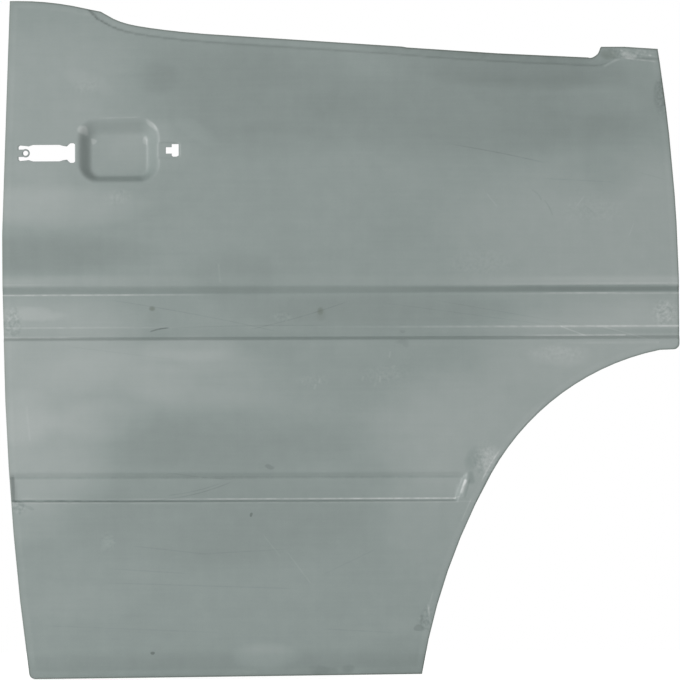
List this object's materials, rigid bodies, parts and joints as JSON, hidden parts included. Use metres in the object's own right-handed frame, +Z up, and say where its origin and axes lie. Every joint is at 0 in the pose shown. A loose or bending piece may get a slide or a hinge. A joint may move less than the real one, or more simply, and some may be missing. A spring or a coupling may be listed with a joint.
{
  "type": "van door outer skin",
  "caption": "Pressed steel outer skin for a van's right-hand front door, with hem flanges, window sill flange, handle recess and holes, moulding band and swage.",
  "frame": {"origin": "on the underside of the lower hem flange, about half-way along it and half-way across its depth", "axes": "+X towards the front of the vehicle, +Y into the door, +Z up"},
  "size_m": [0.9199, 0.0501, 0.9228],
  "materials": {
    "primed_steel": "dull grey-green zinc primer, scuffed"
  },
  "bodies": {
    "root": {"door_skin": "primed_steel"}
  },
  "joints": []
}
